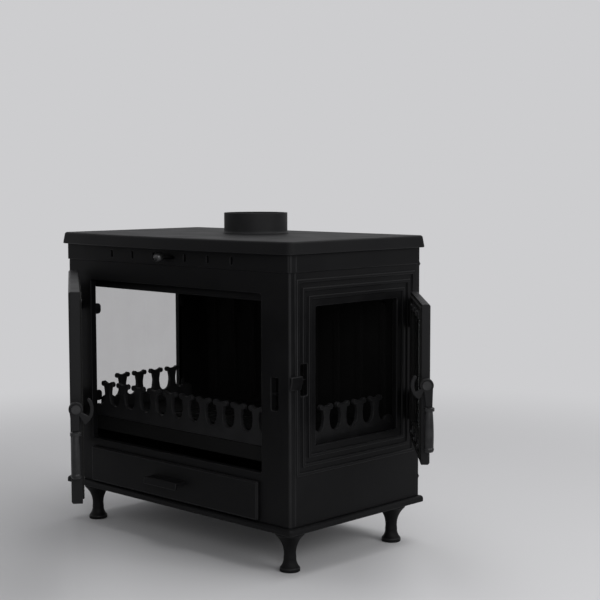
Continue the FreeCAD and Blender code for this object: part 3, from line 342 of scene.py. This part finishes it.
clipEnds = {
    "xMm": (-358, -353), "yMm": (-132, 129), "zMm": (287, 313, 502, 528), "nearMm": 0.5, "roundMm": 9,
}
castings = {
    "roundMm": {
        "front_frame": 1.8, "left_side_panel": 2.2, "right_side_panel": 2.2, "top_plate": 2.0,
        "base_plate": 1.6, "back_panel": 1.5, "front_fence": 1.8, "left_fence": 1.8, "right_fence": 1.8,
        "hearth_plate": 1.5, "grate": 1.5, "fireback": 1.5, "baffle_plate": 1.2, "front_door_frame": 1.2,
        "side_door_frame": 1.2, "front_latch": 1.6, "side_latch": 1.6, "ash_drawer_front": 1.5,
        "ash_drawer_pull": 1.5, "leg_front_left": 1.5, "leg_front_right": 1.5, "leg_rear_left": 1.5,
        "leg_rear_right": 1.5, "left_window_clips": 0.0,
    },
    "segments": 3,
    "fineSegments": {"left_window_clips": 8},
    "sharpDegrees": 32,
    "mergeMm": 0.01,
    "flatDegrees": 0.6,
    # boxes with a rounding of their own: the body's front corners are fuller, the hinge lugs nearly sharp,
    # and the window's clips have round ends
    "zones": {
        "front_frame": [
            {"lowMm": (374.5, -211.5, 95), "highMm": (376, -210.5, 641), "roundMm": 4.5},
            {"lowMm": (-376, -211.5, 95), "highMm": (-374.5, -210.5, 641), "roundMm": 4.5},
        ],
        "right_side_panel": [{"lowMm": (360, 150, 0), "highMm": (420, 215, 705), "roundMm": 0.5}],
        "left_window_clips": [
            {
                "lowMm": (clipEnds["xMm"][0], y - clipEnds["nearMm"], z - clipEnds["nearMm"]),
                "highMm": (clipEnds["xMm"][1], y + clipEnds["nearMm"], z + clipEnds["nearMm"]),
                "roundMm": clipEnds["roundMm"],
            }
            for y in clipEnds["yMm"] for z in clipEnds["zMm"]
        ],
    },
}


def arrisRound(node, edge):
    width = castings["roundMm"][node]
    middle = (edge.verts[0].co + edge.verts[1].co) / 2 / mm
    for zone in castings["zones"].get(node, ()):
        if all(low <= place <= high for low, place, high in zip(zone["lowMm"], middle, zone["highMm"])):
            width = zone["roundMm"]
    return width


def settle(piece):
    # keeps what the modifiers make as the piece's own plain mesh
    start = piece.data
    graph = bpy.context.evaluated_depsgraph_get()
    made = bpy.data.meshes.new_from_object(
        piece.evaluated_get(graph), preserve_all_data_layers=True, depsgraph=graph)
    piece.modifiers.clear()
    piece.data = made
    made.name = piece.name
    bpy.data.meshes.remove(start)


def castPiece(node):
    mesh = bpy.data.meshes.new(f"cast_{node}")
    work = bmesh.new()
    work.from_mesh(nodes[node].data)
    bmesh.ops.remove_doubles(work, verts=work.verts, dist=castings["mergeMm"] * mm)
    bmesh.ops.dissolve_limit(work, angle_limit=math.radians(castings["flatDegrees"]), verts=work.verts,
                             edges=work.edges)
    weight = work.edges.layers.float.new("bevel_weight_edge")
    zones = castings["zones"].get(node, ())
    widest = max([castings["roundMm"][node]] + [zone["roundMm"] for zone in zones])
    for edge in work.edges:
        sharp = edge.is_manifold and edge.calc_face_angle() > math.radians(castings["sharpDegrees"])
        if sharp and edge.is_convex:  # inner corners stay crisp
            edge[weight] = arrisRound(node, edge) / widest
    work.to_mesh(mesh)
    work.free()
    mesh.shade_smooth()
    look = nodes[node].data.materials[0]
    mesh.materials.append(look)
    # the second slot holds the painted arris highlight, except on fire-side iron and steel
    mesh.materials.append(look if look in (fireIron, darkSteel) else arrisHighlightIron)
    piece = bpy.data.objects.new(f"cast_{node}", mesh)
    bpy.context.scene.collection.objects.link(piece)
    bevel = piece.modifiers.new("round", "BEVEL")
    bevel.width = widest * mm
    bevel.segments = castings["fineSegments"].get(node, castings["segments"])
    bevel.limit_method = "WEIGHT"
    bevel.material = 1  # the rounded arrises take the paler painted highlight
    bevel.use_clamp_overlap = False
    even = piece.modifiers.new("even", "WEIGHTED_NORMAL")
    even.keep_sharp = True
    settle(piece)
    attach(piece, bodyOf[node])
    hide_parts(node)


for node in castings["roundMm"]:
    castPiece(node)
print("castings rounded:", len(castings["roundMm"]))


# Air lip: a folded strip with a rolled hem, screwed to the back of the lintel, that shows below it

airLip = {
    # fold line in the Y-Z plane from the flange's top to the middle of the hem
    "foldMm": ((-193.5, 632), (-193.5, 600), (-187.5, 590), (-191.2, 578.4)),
    "thickMm": 3.0, "hemMm": 2.8, "hemPoints": 16, "halfSpanMm": 300, "bendMm": 4.0, "bendPoints": 6,
    "creaseDegrees": 30,
}


def lipProfile():
    # both faces of the folded sheet, with the hem's arc between them
    corners = [Vector(place) for place in airLip["foldMm"]]
    fold = [corners[0]]
    for before, corner, after in zip(corners, corners[1:], corners[2:]):
        start = corner + (before - corner).normalized() * airLip["bendMm"]
        end = corner + (after - corner).normalized() * airLip["bendMm"]
        for step in range(airLip["bendPoints"]):
            share = step / (airLip["bendPoints"] - 1)
            fold.append(start.lerp(corner, share).lerp(corner.lerp(end, share), share))
    fold.append(corners[-1])
    half = airLip["thickMm"] / 2
    ways = [(after - before).normalized() for before, after in zip(fold, fold[1:])]
    sides = [Vector((-way.y, way.x)) for way in ways]
    left, right = [fold[0] + sides[0] * half], [fold[0] - sides[0] * half]
    for place, before, after in zip(fold[1:], sides, sides[1:]):
        mitre = (before + after).normalized()
        reach = half / mitre.dot(after)
        left.append(place + mitre * reach)
        right.append(place - mitre * reach)
    tip, way, side = fold[-1], ways[-1], sides[-1]
    mouth = math.asin(half / airLip["hemMm"])
    for step in range(airLip["hemPoints"]):
        angle = (math.pi - mouth) * (1 - 2 * step / (airLip["hemPoints"] - 1))
        left.append(tip + (way * math.cos(angle) + side * math.sin(angle)) * airLip["hemMm"])
    return left + right[::-1]


work = bmesh.new()
profile = lipProfile()
ends = []
for x in (-airLip["halfSpanMm"], airLip["halfSpanMm"]):
    ends.append([work.verts.new(Vector((x, place.x, place.y)) * mm) for place in profile])
for i in range(len(profile)):
    work.faces.new((ends[0][i - 1], ends[0][i], ends[1][i], ends[1][i - 1]))
for end in ends:
    work.faces.new(end)
bmesh.ops.recalc_face_normals(work, faces=work.faces)
lipMesh = bpy.data.meshes.new("air_lip")
work.to_mesh(lipMesh)
work.free()
lipMesh.shade_smooth()
lipMesh.set_sharp_from_angle(angle=math.radians(airLip["creaseDegrees"]))
lipMesh.materials.append(lipSteel)
lip = bpy.data.objects.new("air_lip", lipMesh)
bpy.context.scene.collection.objects.link(lip)
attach(lip, "stove")
print("air lip folded")


# What the screws and the ropes share: a tree's start and end, and the piece that it grows

def startTree(name, sockets):
    # a geometry tree with one geometry in, named sizes, and one geometry out
    tree = bpy.data.node_groups.new(name, "GeometryNodeTree")
    tree.interface.new_socket("Places", in_out="INPUT", socket_type="NodeSocketGeometry")
    for socket, kind in sockets.items():
        tree.interface.new_socket(socket, in_out="INPUT", socket_type=kind)
    tree.interface.new_socket("Pieces", in_out="OUTPUT", socket_type="NodeSocketGeometry")
    return tree, addNode(tree, "NodeGroupInput").outputs


def endTree(tree, source, material):
    plain = addNode(tree, "GeometryNodeRealizeInstances", links={"Geometry": source})
    dressed = addNode(tree, "GeometryNodeSetMaterial", {"Material": material},
                      {"Geometry": plain.outputs[0]})
    addNode(tree, "NodeGroupOutput", links={"Pieces": dressed.outputs[0]})


def growPiece(name, mesh, tree, values, body):
    # runs the tree on a mesh of places and keeps the result as a plain mesh that rides its body
    piece = bpy.data.objects.new(name, mesh)
    bpy.context.scene.collection.objects.link(piece)
    grow = piece.modifiers.new("grow", "NODES")
    grow.node_group = tree
    for item in tree.interface.items_tree:
        if item.item_type == "SOCKET" and item.in_out == "INPUT" and item.name in values:
            grow[item.identifier] = values[item.name]
    settle(piece)
    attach(piece, body)
    return piece


# Hex screws on the glass clips and the air lip, and bolts through the back panel

screws = {
    "headMm": 3.0, "headTallMm": 2.0, "headSides": 6,
    "washerMm": 3.8, "washerTallMm": 0.6, "washerSides": 20,
    # the crown's radii as shares of the head's radius, and its rise as a share of the head's height
    "crownWide": 0.84, "crownTip": 0.62, "crownTall": 0.18, "crownSides": 18,
    "clipShares": (0.2, 0.5, 0.8), "clipThickMm": 2.5, "clipSeatMm": 8,
    "boltScale": 2.2, "boltAcrossMm": 366, "backMm": 211, "boltHeightsMm": (150, 400, 640),
    "paneScale": 0.75, "paneClipXMm": -354, "paneClipYMm": (-154.2, 135.2), "paneClipZMm": (300, 515),
    "lipAcrossMm": (-240, -80, 80, 240), "lipFaceMm": -192, "lipRiseMm": 617,
}
screwTree, given = startTree("hexScrews", {
    "Head Radius": "NodeSocketFloat", "Head Height": "NodeSocketFloat", "Washer Radius": "NodeSocketFloat",
    "Washer Height": "NodeSocketFloat",
})
washer = addNode(screwTree, "GeometryNodeMeshCylinder", {"Vertices": screws["washerSides"]}, {
    "Radius": given["Washer Radius"], "Depth": given["Washer Height"]})
headBody = addNode(screwTree, "GeometryNodeMeshCylinder", {"Vertices": screws["headSides"]}, {
    "Radius": given["Head Radius"], "Depth": given["Head Height"]})
crownWide = addNode(screwTree, "ShaderNodeMath", {1: screws["crownWide"]}, {0: given["Head Radius"]},
                    operation="MULTIPLY")
crownTip = addNode(screwTree, "ShaderNodeMath", {1: screws["crownTip"]}, {0: given["Head Radius"]},
                   operation="MULTIPLY")
crownTall = addNode(screwTree, "ShaderNodeMath", {1: screws["crownTall"]}, {0: given["Head Height"]},
                    operation="MULTIPLY")
crown = addNode(screwTree, "GeometryNodeMeshCone", {"Vertices": screws["crownSides"]}, {
    "Radius Bottom": crownWide.outputs[0], "Radius Top": crownTip.outputs[0],
    "Depth": crownTall.outputs[0]})
# a cylinder stands about its middle and a cone on its base
washerRise = addNode(screwTree, "ShaderNodeMath", {1: 0.5}, {
    0: given["Washer Height"]}, operation="MULTIPLY")
headRise = addNode(screwTree, "ShaderNodeMath", {1: 0.5}, {
    0: given["Head Height"], 2: given["Washer Height"]}, operation="MULTIPLY_ADD")
crownRise = addNode(screwTree, "ShaderNodeMath", {1: 1.0}, {
    0: given["Head Height"], 2: given["Washer Height"]}, operation="MULTIPLY_ADD")
lifted = []
for shape, rise in ((washer, washerRise), (headBody, headRise), (crown, crownRise)):
    lift = addNode(screwTree, "ShaderNodeCombineXYZ", links={"Z": rise.outputs[0]})
    lifted.append(addNode(screwTree, "GeometryNodeTransform", links={
        "Geometry": shape.outputs[0], "Translation": lift.outputs[0]}).outputs[0])
screw = addNode(screwTree, "GeometryNodeJoinGeometry")
for shape in lifted:
    screwTree.links.new(shape, screw.inputs[0])
aim = addNode(screwTree, "GeometryNodeInputNamedAttribute", {"Name": "aim"}, data_type="FLOAT_VECTOR")
grown = addNode(screwTree, "GeometryNodeInputNamedAttribute", {"Name": "grown"}, data_type="FLOAT")
facing = addNode(screwTree, "FunctionNodeAlignRotationToVector", links={"Vector": aim.outputs[0]}, axis="Z")
placed = addNode(screwTree, "GeometryNodeInstanceOnPoints", links={
    "Points": given["Places"], "Instance": screw.outputs[0], "Rotation": facing.outputs[0],
    "Scale": grown.outputs[0]})
endTree(screwTree, placed.outputs[0], darkSteel)


def screwPiece(name, places, body):
    # each place has its point, the way that the head faces and its scale
    mesh = bpy.data.meshes.new(f"{name}_places")
    mesh.from_pydata([place for place, way, scale in places], [], [])
    mesh.attributes.new("aim", "FLOAT_VECTOR", "POINT")
    mesh.attributes.new("grown", "FLOAT", "POINT")
    for index, (place, way, scale) in enumerate(places):
        mesh.attributes["aim"].data[index].vector = way
        mesh.attributes["grown"].data[index].value = scale
    growPiece(name, mesh, screwTree, {
        "Head Radius": screws["headMm"] * mm, "Head Height": screws["headTallMm"] * mm,
        "Washer Radius": screws["washerMm"] * mm, "Washer Height": screws["washerTallMm"] * mm,
    }, body)


for name, door in doorRest.items():
    nearEnd, farEnd = door["spanMm"]
    level = door["leafMm"] / 2 + screws["clipThickMm"]
    places = []
    for share in screws["clipShares"]:
        along = nearEnd + share * (farEnd - nearEnd)
        for up in (door["sillMm"] + screws["clipSeatMm"], door["lintelMm"] - screws["clipSeatMm"]):
            places.append((onDoor(door, along, level, up), inwardOf(door), 1.0))
    screwPiece(f"{name}_clip_screws", places, f"{name}_door")
places = []
for x in (-screws["boltAcrossMm"], screws["boltAcrossMm"]):
    for z in screws["boltHeightsMm"]:
        places.append((Vector((x, screws["backMm"], z)) * mm, Vector((0, 1, 0)), screws["boltScale"]))
for y in screws["paneClipYMm"]:
    for z in screws["paneClipZMm"]:
        places.append((Vector((screws["paneClipXMm"], y, z)) * mm, Vector((1, 0, 0)), screws["paneScale"]))
for x in screws["lipAcrossMm"]:
    places.append((Vector((x, screws["lipFaceMm"], screws["lipRiseMm"])) * mm, Vector((0, 1, 0)), 1.0))
screwPiece("stove_bolts", places, "stove")
print("screws and bolts set")


# Rope gaskets: a three-strand rope laid in the groove round each door

gasket = {
    "offsetMm": 5.5, "cornerMm": 5, "cornerPoints": 7, "riseMm": 0.3, "radiusMm": 3.3, "pitchMm": 21,
    "perTurn": 14, "strands": 3.0, "strandDip": 0.1, "profilePoints": 18,
}
ropeTree, given = startTree("twistedRope", {
    "Radius": "NodeSocketFloat", "Strand Dip": "NodeSocketFloat", "Turns": "NodeSocketFloat",
    "Samples": "NodeSocketInt",
})
path = addNode(ropeTree, "GeometryNodeMeshToCurve", links={"Mesh": given["Places"]})
even = addNode(ropeTree, "GeometryNodeResampleCurve", links={
    "Curve": path.outputs[0], "Count": given["Samples"]})
along = addNode(ropeTree, "GeometryNodeSplineParameter")
turnsDone = addNode(ropeTree, "ShaderNodeMath", links={0: along.outputs["Factor"], 1: given["Turns"]},
                    operation="MULTIPLY")
tilt = addNode(ropeTree, "ShaderNodeMath", {1: 2 * math.pi}, {0: turnsDone.outputs[0]},
               operation="MULTIPLY")
twisted = addNode(ropeTree, "GeometryNodeSetCurveTilt", links={
    "Curve": even.outputs[0], "Tilt": tilt.outputs[0]})
section = addNode(ropeTree, "GeometryNodeCurvePrimitiveCircle", {"Resolution": gasket["profilePoints"]},
                  {"Radius": given["Radius"]})
# the circle draws in between the strands
spot = addNode(ropeTree, "GeometryNodeInputPosition")
parts = addNode(ropeTree, "ShaderNodeSeparateXYZ", links={0: spot.outputs[0]})
bearing = addNode(ropeTree, "ShaderNodeMath", links={0: parts.outputs["Y"], 1: parts.outputs["X"]},
                  operation="ARCTAN2")
strandTurn = addNode(ropeTree, "ShaderNodeMath", {1: gasket["strands"]}, {0: bearing.outputs[0]},
                     operation="MULTIPLY")
lobe = addNode(ropeTree, "ShaderNodeMath", links={0: strandTurn.outputs[0]}, operation="COSINE")
shrink = addNode(ropeTree, "ShaderNodeMapRange", {"From Min": 1.0, "From Max": -1.0, "To Min": 0.0},
                 {"Value": lobe.outputs[0], "To Max": given["Strand Dip"]})
scale = addNode(ropeTree, "ShaderNodeMath", {0: 1.0}, {1: shrink.outputs[0]}, operation="SUBTRACT")
drawn = addNode(ropeTree, "ShaderNodeVectorMath", links={0: spot.outputs[0], "Scale": scale.outputs[0]},
                operation="SCALE")
strands = addNode(ropeTree, "GeometryNodeSetPosition", links={
    "Geometry": section.outputs[0], "Position": drawn.outputs[0]})
laid = addNode(ropeTree, "GeometryNodeCurveToMesh", links={
    "Curve": twisted.outputs[0], "Profile Curve": strands.outputs[0]})
smooth = addNode(ropeTree, "GeometryNodeSetShadeSmooth", links={"Geometry": laid.outputs[0]})
endTree(ropeTree, smooth.outputs[0], ropeLook)

for name, door in doorRest.items():
    nearEnd, farEnd = (door["spanMm"][0] - gasket["offsetMm"], door["spanMm"][1] + gasket["offsetMm"])
    low, high = (door["sillMm"] - gasket["offsetMm"], door["lintelMm"] + gasket["offsetMm"])
    bend = gasket["cornerMm"]
    level = door["leafMm"] / 2 + gasket["riseMm"]
    route = []
    for cornerX, cornerZ, start in ((farEnd - bend, low + bend, -90), (farEnd - bend, high - bend, 0),
                                    (nearEnd + bend, high - bend, 90), (nearEnd + bend, low + bend, 180)):
        for step in range(gasket["cornerPoints"]):
            angle = math.radians(start + 90 * step / (gasket["cornerPoints"] - 1))
            route.append(onDoor(door, cornerX + bend * math.cos(angle), level,
                                cornerZ + bend * math.sin(angle)))
    length = sum((route[i] - route[i - 1]).length for i in range(len(route)))
    turns = round(length / (gasket["pitchMm"] * mm))
    mesh = bpy.data.meshes.new(f"{name}_rope_route")
    mesh.from_pydata(route, [(i, (i + 1) % len(route)) for i in range(len(route))], [])
    piece = growPiece(f"{name}_rope", mesh, ropeTree, {
        "Radius": gasket["radiusMm"] * mm, "Strand Dip": gasket["strandDip"], "Turns": float(turns),
        "Samples": turns * gasket["perTurn"],
    }, f"{name}_door")
    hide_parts(f"{name}_door_gasket")
print("rope gaskets laid")


# Stage, light and camera

stage = {
    "near": "#cbcbcc", "far": "#cdcdcf", "roughness": 0.9, "specular": 0.1, "mottlePerMetre": 1.5,
    "mottleDetail": 3.0, "floorRadius": 30.0, "floorSides": 96, "fadeFrom": 0.9, "fadeTo": 2.4,
    "soft": "#f6f6f8", "softStrength": 0.36,
}


def seenShare(tree):
    # 1 for what the camera sees, also by way of metal and glass, and 0 for light on the object
    paths = addNode(tree, "ShaderNodeLightPath").outputs
    seen = addNode(tree, "ShaderNodeMath", links={0: paths["Is Camera Ray"], 1: paths["Is Glossy Ray"]},
                   operation="MAXIMUM")
    seenToo = addNode(tree, "ShaderNodeMath", links={0: seen.outputs[0], 1: paths["Is Transmission Ray"]},
                      operation="MAXIMUM")
    return seenToo.outputs[0]


floorMesh = bpy.data.meshes.new("floor")
work = bmesh.new()
bmesh.ops.create_circle(work, cap_ends=True, segments=stage["floorSides"], radius=stage["floorRadius"])
work.to_mesh(floorMesh)
work.free()
floor = bpy.data.objects.new("floor", floorMesh)
bpy.context.scene.collection.objects.link(floor)
floorLook, tree, shader, place = startMaterial("studio_floor_pale_paint")
mottle = addNode(tree, "ShaderNodeTexNoise", {
    "Scale": stage["mottlePerMetre"], "Detail": stage["mottleDetail"],
}, {"Vector": place})
tint = addNode(tree, "ShaderNodeValToRGB", links={"Fac": mottle.outputs[0]},
               stops=((0.0, stage["near"]), (1.0, stage["far"])))
tree.links.new(tint.outputs[0], shader.inputs["Base Color"])
shader.inputs["Roughness"].default_value = stage["roughness"]
shader.inputs["Specular IOR Level"].default_value = stage["specular"]
# far from the stove the floor runs into the backdrop without a line
reach = addNode(tree, "ShaderNodeVectorMath", links={0: place}, operation="LENGTH")
fade = addNode(tree, "ShaderNodeMapRange", {"From Min": stage["fadeFrom"], "From Max": stage["fadeTo"]},
               {"Value": reach.outputs["Value"]}, interpolation_type="SMOOTHSTEP")
share = addNode(tree, "ShaderNodeMath", links={0: fade.outputs[0], 1: seenShare(tree)},
                operation="MULTIPLY")
glow = addNode(tree, "ShaderNodeEmission", {"Color": linear(stage["far"]), "Strength": 1.0})
mixed = addNode(tree, "ShaderNodeMixShader", links={
    0: share.outputs[0], 1: shader.outputs[0], 2: glow.outputs[0]})
tree.links.new(mixed.outputs[0], tree.nodes["Material Output"].inputs["Surface"])
floorMesh.materials.append(floorLook)
floor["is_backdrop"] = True

world = bpy.data.worlds.new("studio")
bpy.context.scene.world = world
world.use_nodes = True
tree = world.node_tree
tree.nodes.clear()
soft = addNode(tree, "ShaderNodeBackground", {
    "Color": linear(stage["soft"]), "Strength": stage["softStrength"]})
wall = addNode(tree, "ShaderNodeBackground", {"Color": linear(stage["far"]), "Strength": 1.0})
both = addNode(tree, "ShaderNodeMixShader", links={
    0: seenShare(tree), 1: soft.outputs[0], 2: wall.outputs[0]})
addNode(tree, "ShaderNodeOutputWorld", links={"Surface": both.outputs[0]})

lamps = {
    "overhead": {"place": (0.3, 0.5, 3.0), "aim": (0.0, 0.0, 0.6), "size": 2.6, "watts": 48},
    "rightFill": {"place": (3.2, 0.4, 1.9), "aim": (0.2, 0.0, 0.4), "size": 1.8, "watts": 34},
    "cameraFill": {"place": (3.0, -2.2, 1.5), "aim": (0.1, 0.0, 0.4), "size": 1.2, "watts": 30},
    "leftFill": {"place": (-2.4, -2.6, 2.2), "aim": (0.0, 0.0, 0.4), "size": 1.8, "watts": 1},
}
for name, lamp in lamps.items():
    data = bpy.data.lights.new(name, "AREA")
    data.size = lamp["size"]
    data.energy = lamp["watts"]
    light = bpy.data.objects.new(name, data)
    light.location = lamp["place"]
    throw = Vector(lamp["aim"]) - Vector(lamp["place"])
    light.rotation_euler = throw.to_track_quat("-Z", "Y").to_euler()
    bpy.context.scene.collection.objects.link(light)

view = {
    "place": (2.31903, -2.19653, 0.83773), "forward": (-0.691265, 0.716929, -0.090365),
    "up": (-0.06148, 0.06625, 0.995907), "lensMm": 81.669, "sensorMm": 36.0,
}
camera = bpy.data.objects.new("camera", bpy.data.cameras.new("camera"))
bpy.context.scene.collection.objects.link(camera)
forward = Vector(view["forward"]).normalized()
upward = Vector(view["up"]).normalized()
across = forward.cross(upward)
turned = Matrix((across, upward, -forward)).transposed().to_4x4()
camera.matrix_world = Matrix.Translation(view["place"]) @ turned
camera.data.sensor_width = view["sensorMm"]
camera.data.lens = view["lensMm"]
bpy.context.scene.camera = camera
bpy.context.scene.view_settings.view_transform = "Standard"
print("stage set")

low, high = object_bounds()
